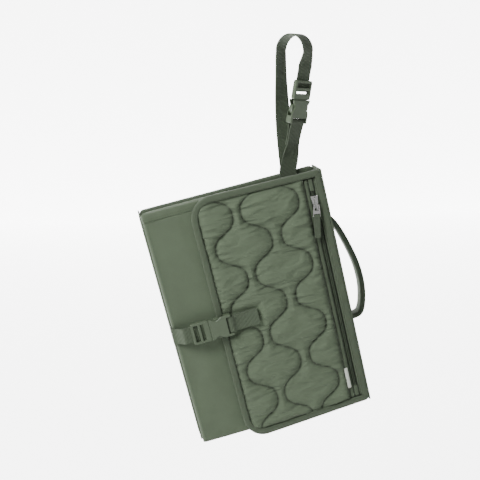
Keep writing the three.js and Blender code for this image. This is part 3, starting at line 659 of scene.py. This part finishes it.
# a thin cloth in each fold's own plane closes the gap between the leaves when they lie open
for name, x, y, body in (("middle_fold_cloth", (-1.5, 5.5), FOLD2_Y, "mat_fold_1"), ("left_fold_cloth",
        (-112.4, -106.0), FOLD1_Y, "pad_back")):
    cloth = slab(name, x, (y - 0.12, y + 0.12), (-150, 150), radii=(0.5,) * 4, edge=0.08, step=6,
        material=shell_cloth)
    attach(cloth, body)
print("folded edges made")

# %% [markdown]
# ## Carry handle
# A tube of folded cloth: one rounded section swept from its top tab, out and round, to its bottom tab.

# %% Handle
HANDLE_Y, HANDLE_Z, HANDLE_X, HANDLE_OUT, HANDLE_HALF = 38.1, 15.0, 108.0, 36.0, 75.0
bow = [(-9, -8), (2, -5), (12, -11), (0.62 * HANDLE_OUT, -0.42 * HANDLE_HALF), (0.92 * HANDLE_OUT,
    -0.95 * HANDLE_HALF),
       (HANDLE_OUT, -1.35 * HANDLE_HALF), (0.92 * HANDLE_OUT, -1.68 * HANDLE_HALF), (0.72 * HANDLE_OUT,
           -1.92 * HANDLE_HALF),
       (12, -1.96 * HANDLE_HALF), (2, -1.93 * HANDLE_HALF), (-9,
           -1.9 * HANDLE_HALF)]   # out and down from the top tab
spine_points = [(HANDLE_X + x, HANDLE_HALF + z) for x, z in bow]


def smooth_path(points, count):
    """A Catmull-Rom line through the points."""
    p = [Vector((*q, 0)) if len(q) == 2 else Vector(q) for q in points]
    p = [2 * p[0] - p[1]] + p + [2 * p[-1] - p[-2]]
    out = []
    segments = len(p) - 3
    for i in range(count):
        s = i / (count - 1) * segments
        k = min(int(s), segments - 1)
        t = s - k
        a, b, c, d = p[k:k + 4]
        out.append(0.5 * ((2 * b) + (c - a) * t + (2 * a - 5 * b + 4 * c - d) * t * t + (3 * b - a -
            3 * c + d) * t ** 3))
    return out


handle_path = [(q.x, HANDLE_Y, HANDLE_Z + q.y) for q in smooth_path(spine_points, 70)]
handle = sweep("carry_handle_roll", handle_path, rounded_section(3.6, 9.9, 3.2, 5), handle_cloth,
    body="carry_handle")
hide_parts("carry_handle")
print("handle points", len(handle_path))

# %% [markdown]
# ## Stitches and zip coil by Geometry Nodes
# A row of stitches is one short rounded grain repeated at an even spacing along a line, and a zip's
# coil is one loop repeated the same way. One tree does both: it resamples a line into points, puts
# a grain on each, turns it along the line, realizes the copies and gives them their material.

# %% The tree that repeats a grain along a line
def repeat_tree():
    tree = bpy.data.node_groups.new("grains along a line", "GeometryNodeTree")
    face = tree.interface
    face.new_socket("Line", in_out="INPUT", socket_type="NodeSocketGeometry")
    for label, value in (("Spacing", 0.003), ("Grain Length", 0.0022), ("Grain Width", 0.0005),
            ("Grain Height", 0.0004)):
        face.new_socket(label, in_out="INPUT", socket_type="NodeSocketFloat").default_value = value
    face.new_socket("Finish", in_out="INPUT", socket_type="NodeSocketMaterial")
    face.new_socket("Grains", in_out="OUTPUT", socket_type="NodeSocketGeometry")
    new, link = tree.nodes.new, tree.links.new
    start, end = new("NodeGroupInput"), new("NodeGroupOutput")
    points = new("GeometryNodeCurveToPoints")
    points.mode = "LENGTH"
    grain = new("GeometryNodeMeshIcoSphere")
    grain.inputs["Subdivisions"].default_value = 1
    grain.inputs["Radius"].default_value = 0.5
    aim = new("FunctionNodeAlignRotationToVector")
    aim.axis = "Z"
    size, place = new("ShaderNodeCombineXYZ"), new("GeometryNodeInstanceOnPoints")
    real, finish = new("GeometryNodeRealizeInstances"), new("GeometryNodeSetMaterial")
    link(start.outputs["Line"], points.inputs["Curve"])
    link(start.outputs["Spacing"], points.inputs["Length"])
    link(points.outputs["Tangent"], aim.inputs["Vector"])
    link(aim.outputs[0], place.inputs["Rotation"])
    link(start.outputs["Grain Width"], size.inputs[0])
    link(start.outputs["Grain Height"], size.inputs[1])
    link(start.outputs["Grain Length"], size.inputs[2])
    link(size.outputs[0], place.inputs["Scale"])
    link(points.outputs["Points"], place.inputs["Points"])
    link(grain.outputs["Mesh"], place.inputs["Instance"])
    link(place.outputs[0], real.inputs[0])
    link(real.outputs[0], finish.inputs["Geometry"])
    link(start.outputs["Finish"], finish.inputs["Material"])
    link(finish.outputs[0], end.inputs["Grains"])
    return tree


GRAINS = repeat_tree()


def grains(name, lines, body, finish, spacing=3.0, length=2.1, width=0.55, height=0.5, local=True):
    """lines are lists of points in pad millimetres (or in frame metres with local off)."""
    curve = bpy.data.curves.new(name + "_line", "CURVE")
    curve.dimensions = "3D"
    for line in lines:
        spline = curve.splines.new("POLY")
        spline.points.add(len(line) - 1)
        for point, p in zip(spline.points, line):
            q = PAD @ (Vector(p) * MM) if local else Vector(p)
            point.co = (*q, 1)
    holder = bpy.data.objects.new(name + "_line", curve)
    bpy.context.scene.collection.objects.link(holder)
    modifier = holder.modifiers.new("grains", "NODES")
    modifier.node_group = GRAINS
    ids = {item.name: item.identifier for item in GRAINS.interface.items_tree if item.in_out == "INPUT"}
    for label, value in (("Spacing", spacing), ("Grain Length", length), ("Grain Width", width),
            ("Grain Height", height)):
        modifier[ids[label]] = value * MM
    modifier[ids["Finish"]] = finish
    seen = holder.evaluated_get(bpy.context.evaluated_depsgraph_get())
    mesh = bpy.data.meshes.new_from_object(seen)
    obj = bpy.data.objects.new(name, mesh)
    bpy.context.scene.collection.objects.link(obj)
    bpy.data.objects.remove(holder)
    mesh.materials.clear()
    mesh.materials.append(finish)
    mesh.polygons.foreach_set("material_index", [0] * len(mesh.polygons))
    mesh.polygons.foreach_set("use_smooth", [True] * len(mesh.polygons))
    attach(obj, body)
    print(name, "grains:", len(mesh.polygons) // 20)
    return obj


# %% Stitches on the flap
def inset_outline(x0, x1, z0, z1, radii, inset, y, flared=False):
    rim = rounded_outline(x0 + inset, x1 - inset, z0 + inset, z1 - inset, [max(r - inset,
        0.8) for r in radii], 2.5)
    return [(x, y, flare(x, z) if flared else z) for x, z in rim + rim[:1]]


def on_quilt(x, z, sunk=0.15):
    return QUILT_Y[0] + 0.3 - quilt_height(x, z) + sunk


seam_lines = []
for k in range(3):
    seam_lines.append([(seam_x(k, z), on_quilt(seam_x(k, z), z), flare(seam_x(k, z),
        z)) for z in np.arange(-143.5, 143.6, 1.5)])
grains("quilt_seam_stitches", seam_lines, "front_flap", thread_green, spacing=3.0, length=2.3, width=0.6,
    height=0.6)
tape_face = QUILT_Y[0] - 1.5
tape_lines = [inset_outline(FLAP_X, SPINE_EDGE, -HALF_H, HALF_H, (28, 3, 3, 28), 6.6, tape_face,
    flared=True)]
quilt_edge = [[(QUILT_RIGHT - 2.2, QUILT_Y[0] - 0.35, z) for z in np.arange(-143, 143.1, 4)]]
grains("flap_tape_stitches", tape_lines + quilt_edge, "front_flap", thread_green, spacing=3.2, length=2.4)
back_lines = [inset_outline(-HALF_W, HALF_W, -HALF_H, HALF_H, (4, 4, 4, 4), 6.4, BACK_Y[1] + 0.3)]
grains("back_tape_stitches", back_lines, "pad_back", thread_green, spacing=3.2, length=2.4)

print("stitches on the flap:", len(seam_lines), "seams,", len(tape_lines), "tape row")

# %% Stitches on the hem and the panel's left edge
def hem_point(x, z):
    return (x, LEAF2F_Y[0] - 0.75 - wave(x, z, 8, 14, 0.7), z)


def edge_point(z, x=-105.5):
    return (x, LEAF2F_Y[0] - 0.05 - panel_sag(x, z), z)


hem_lines = [[hem_point(x, z) for x in np.arange(-108, -1, 2.5)] for z in (143.6, 146.2)]
edge_line = [[edge_point(z) for z in np.arange(-150, 141, 3) if abs(z - STRAP_Z) > 12]]
grains("panel_stitches", hem_lines + edge_line, "mat_fold_2", thread_green, spacing=3.2, length=2.4)
print("panel stitches:", len(hem_lines), "rows on the hem and one on the edge")

# %% [markdown]
# ## The zip
# Two narrow tapes leave a channel, and a row of nylon coils fills it. Each tape's edge rolls over.

# %% Tapes, coils and end stops
TAPE_TOP, TAPE_Y = 144.2, (-22.7, -19.2)
for name, node, x in (("zip_tape_near_quilt", "zip_tape_left", (88.2, 94.2)), ("zip_tape_near_spine",
        "zip_tape_right", (99.8, 107.4))):
    tape = slab(name, x, TAPE_Y, (-TAPE_TOP, TAPE_TOP), radii=(0, 0, 0, 0), edge=1.3, step=1.6,
                front=lambda x, z: wave(x, z, 21, 9, 0.35), material=tape_cloth, flared=True)
    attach(tape, "front_flap")
    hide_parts(node)
coil_line = [[(ZIP_X + dx, -22.2, z) for z in (-129.0, 129.0)] for dx in (-0.9, 0.9)]
grains("zip_coil_teeth", coil_line, "front_flap", coil_plastic, spacing=1.25, length=0.95,
    width=2.1, height=1.9)
coil_bed = slab("zip_coil_bed", (94.5, 99.5), (-21.6, -19.2), (-129, 129), radii=(0, 0, 0, 0), edge=0.3,
    step=2.5, material=coil_plastic)
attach(coil_bed, "front_flap")
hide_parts("zip_coil")
grains("zip_tape_stitches", [[(92.4, -23.05, z) for z in (-143, 143)], [(102.0, -23.05, z) for z in (-143,
    143)]], "front_flap", thread_green, spacing=3.0, length=2.2)
for name, node, z in (("zip_top_cover", "zip_end_top", (129.4, 144.2)), ("zip_bottom_cover",
        "zip_end_bottom", (-144.2, -129.4))):
    cover = slab(name, (94.0, 100.0), (-23.2, -19.2), z, radii=(0.6,) * 4, edge=0.8, step=1.2,
        material=tape_cloth)
    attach(cover, "front_flap")
    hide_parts(node)
tag = slab("blank_side_tag", (86.6, 91.4), (-24.4, -23.3), (-130.5, -102.5), radii=(0.3,) * 4, edge=0.3,
    step=1.2,
           front=lambda x, z: 0.15 * math.sin(z * 0.9), material=label_cloth)
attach(tag, "front_flap")
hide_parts("side_tag")
print("zip made")

# %% [markdown]
# ## Hard parts keep their solid model
# Buckles, slider, pull and the webbing have their true shape already, so only their finish is set.

# %% Finishes on the solid parts
def finish_node(node, material):
    obj = frame["nodes"][node]
    if not obj.material_slots:
        obj.data.materials.append(material)
    for slot in obj.material_slots:
        slot.link = "OBJECT"
        slot.material = material


finishes = {
    "hang_buckle_female": plastic, "hang_buckle_male": plastic, "side_buckle_female": plastic,
    "side_buckle_male": plastic, "zip_slider": silver, "zip_pull": silver,
    "pull_tab": webbing_cloth, "hang_loop": strap_cloth, "hang_leg": strap_cloth,
    "side_webbing": side_cloth, "side_stub": side_cloth, "strap_anchor": strap_cloth,
    "mesh_pocket": mesh_net, "pocket_elastic": tape_cloth, "handle_tab_top": tape_cloth,
    "handle_tab_bottom": tape_cloth,
}
for node, look in finishes.items():
    finish_node(node, look)
print("finishes set on the solid parts")

# %% The strap's foot, down into the pad's top edge
def band(name, stations, thick, material):
    """A flat band through stations of (centre, direction across), in frame metres."""
    points, faces = [], []
    for i, (c, w) in enumerate(stations):
        along = (stations[min(i + 1, len(stations) - 1)][0] - stations[max(i - 1, 0)][0]).normalized()
        n = along.cross(w).normalized()
        for u, v in ((-1, -0.6), (-0.97, -1), (0.97, -1), (1, -0.6), (1, 0.6), (0.97, 1), (-0.97, 1),
                (-1, 0.6)):
            points.append(tuple(c + w * u * 0.0103 + n * v * thick / 2))
    for i in range(len(stations) - 1):
        for k in range(8):
            l = (k + 1) % 8
            faces.append((8 * i + k, 8 * i + l, 8 * i + 8 + l, 8 * i + 8 + k))
    last = 8 * (len(stations) - 1)
    faces += [tuple(range(7, -1, -1)), tuple(range(last, last + 8))]
    return to_object(name, points, faces, material, smooth=False, local=False)


STRAP_LEAN = math.radians(2.5)
FOOT_BELOW_BAR = 0.138                # the strap's sewn end below the bar's centre, metres
FOOT_OVERLAP = 0.0045                 # the band starts this far up on the strap
strap_up = Vector((math.sin(STRAP_LEAN), 0, math.cos(STRAP_LEAN)))
strap_side, pad_side = Vector((strap_up.z, 0, -strap_up.x)), PAD.to_3x3() @ Vector((1, 0, 0))
anchor_low, anchor_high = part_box("strap_anchor")
anchor_y = ((anchor_low[1] + anchor_high[1]) / 2) / MM + ANCHOR.y


def on_pad(y, z):
    """A point over the strap's place on the pad, from pad millimetres into the frame."""
    return PAD @ (Vector((ANCHOR.x, y, z)) * MM)


marks = [
    (strap_up * -(FOOT_BELOW_BAR - FOOT_OVERLAP), strap_side),
    (strap_up * -FOOT_BELOW_BAR, strap_side),
    (on_pad(ANCHOR.y, 154.5), (strap_side + pad_side).normalized()),
    (on_pad((ANCHOR.y + anchor_y) / 2, 151.5), pad_side),
    (on_pad(anchor_y, 147.5), pad_side),
    (on_pad(anchor_y, 142), pad_side),
]
foot = band("strap_foot_band", marks, 0.0041, strap_cloth)
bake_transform(foot)
print("strap foot:", len(marks), "stations; anchor at y", round(anchor_y, 1))

# %% A stitched box on the strap's stub
STUB_STITCH_Y, STUB_STITCH_HALF = -28.25, 8.6      # depth of the stitches and half their box's height
rect = lambda x0, x1, z0, z1, y: [(x0, y, z0), (x1, y, z0), (x1, y, z1), (x0, y, z1), (x0, y, z0)]
stub_box = rect(-20, -5, STRAP_Z - STUB_STITCH_HALF, STRAP_Z + STUB_STITCH_HALF, STUB_STITCH_Y)
grains("stub_stitches", [stub_box], "front_flap", thread_green, spacing=2.6, length=1.9)
print("stub stitched between z", STRAP_Z - STUB_STITCH_HALF, "and", STRAP_Z + STUB_STITCH_HALF)

# %% [markdown]
# ## Room, light and camera
# A pale floor, whose rear part is lit, and a lit backdrop behind it give a white background. A soft
# key stands at the upper left front and a weaker fill at the right, with a dim even surround.

# %% Floor, light and camera
low, high = cad_box
z = low[2] - 0.25


def room_piece(name, corners, colour, glow):
    """A flat piece of the studio; a lit one gives its own light, as a backdrop lit from behind."""
    mesh = bpy.data.meshes.new(name)
    mesh.from_pydata(corners, [], [(0, 1, 2, 3)])
    obj = bpy.data.objects.new(name, mesh)
    bpy.context.scene.collection.objects.link(obj)
    finish = bpy.data.materials.new(name + " finish")
    finish.use_nodes = True
    shader = finish.node_tree.nodes["Principled BSDF"]
    shader.inputs["Base Color"].default_value = (*colour, 1)
    shader.inputs["Roughness"].default_value = 0.9
    shader.inputs["Emission Color"].default_value = (1, 1, 1, 1)
    shader.inputs["Emission Strength"].default_value = glow
    mesh.materials.append(finish)


BEHIND = 0.30                          # the lit part starts this far behind the pad
room_piece("studio_floor", [(-6, -6, z), (6, -6, z), (6, BEHIND, z), (-6, BEHIND, z)], (0.9, 0.9, 0.9),
    0.0)
room_piece("lit_floor", [(-3, BEHIND, z), (3, BEHIND, z), (3, 3.0, z), (-3, 3.0, z)], (0.9, 0.9, 0.9),
    5.0)
room_piece("lit_backdrop", [(-3, 3.0, z), (3, 3.0, z), (3, 3.0, z + 2.4), (-3, 3.0, z + 2.4)],
    (0.9, 0.9, 0.9), 5.0)

world = bpy.data.worlds.new("studio")
bpy.context.scene.world = world
world.use_nodes = True
world.node_tree.nodes["Background"].inputs["Color"].default_value = (1, 1, 1, 1)
world.node_tree.nodes["Background"].inputs["Strength"].default_value = 0.31


def soft_light(name, place, size, power, target):
    light = bpy.data.lights.new(name, "AREA")
    light.size = size
    light.energy = power
    obj = bpy.data.objects.new(name, light)
    bpy.context.scene.collection.objects.link(obj)
    obj.location = place
    obj.rotation_euler = (Vector(target) - Vector(place)).to_track_quat("-Z", "Y").to_euler()
    return obj


soft_light("key", origin + Vector((-1.1, -0.75, 1.0)), 0.7, 31, origin)
soft_light("fill", origin + Vector((1.3, -1.2, 0.1)), 1.2, 2.5, origin)

AZIMUTH, ELEVATION, DISTANCE = math.radians(-9.0), math.radians(15.5), 1.174
outward = Vector((math.sin(AZIMUTH) * math.cos(ELEVATION), -math.cos(AZIMUTH) * math.cos(ELEVATION),
    math.sin(ELEVATION)))
camera = bpy.data.cameras.new("camera")
camera.lens = 70.0
camera.sensor_width = 36.0
camera.shift_x, camera.shift_y = (240 - 257) / 480, (307 - 240) / 480
eye = bpy.data.objects.new("camera", camera)
bpy.context.scene.collection.objects.link(eye)
eye.location = origin + outward * DISTANCE
eye.rotation_euler = outward.to_track_quat("Z", "Y").to_euler()
bpy.context.scene.camera = eye
print("camera", [round(c, 3) for c in eye.location])
